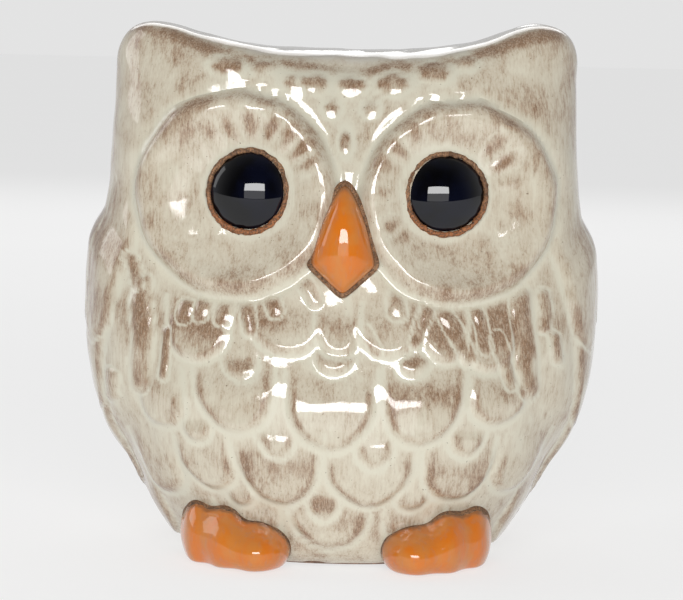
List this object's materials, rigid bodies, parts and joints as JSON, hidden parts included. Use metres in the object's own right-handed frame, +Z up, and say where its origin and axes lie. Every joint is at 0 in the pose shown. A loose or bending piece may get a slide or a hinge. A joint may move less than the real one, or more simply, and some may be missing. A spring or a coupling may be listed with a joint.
{
  "type": "owl coin bank",
  "caption": "Squat hollow glazed ceramic owl coin bank with a coin slot in the back of its head and a pull-out rubber stopper in its base.",
  "frame": {"origin": "on the table under the middle of the owl's bounding box", "axes": "+Z up, the owl faces -Y, so its own left is +X"},
  "size_m": [0.1496, 0.1301, 0.1547],
  "materials": {
    "cream_glaze": "cream reactive glaze that breaks to brown on raised edges, glossy",
    "black_glaze": "blue-black, very glossy",
    "orange_glaze": "ochre orange, glossy",
    "black_rubber": "matt moulded rubber",
    "bare_clay": "unglazed grey-brown clay, matt"
  },
  "bodies": {
    "owl": {"body_shell": "cream_glaze", "left_eye": "black_glaze", "right_eye": "black_glaze", "beak": "orange_glaze", "left_foot": "orange_glaze", "right_foot": "orange_glaze"},
    "bung": {"stopper": "black_rubber"}
  },
  "joints": [
    {"name": "stopper_pull", "type": "slide", "parent": "owl", "child": "bung", "axis": [0, 0, -1], "range_m": [0, 0.03]}
  ]
}
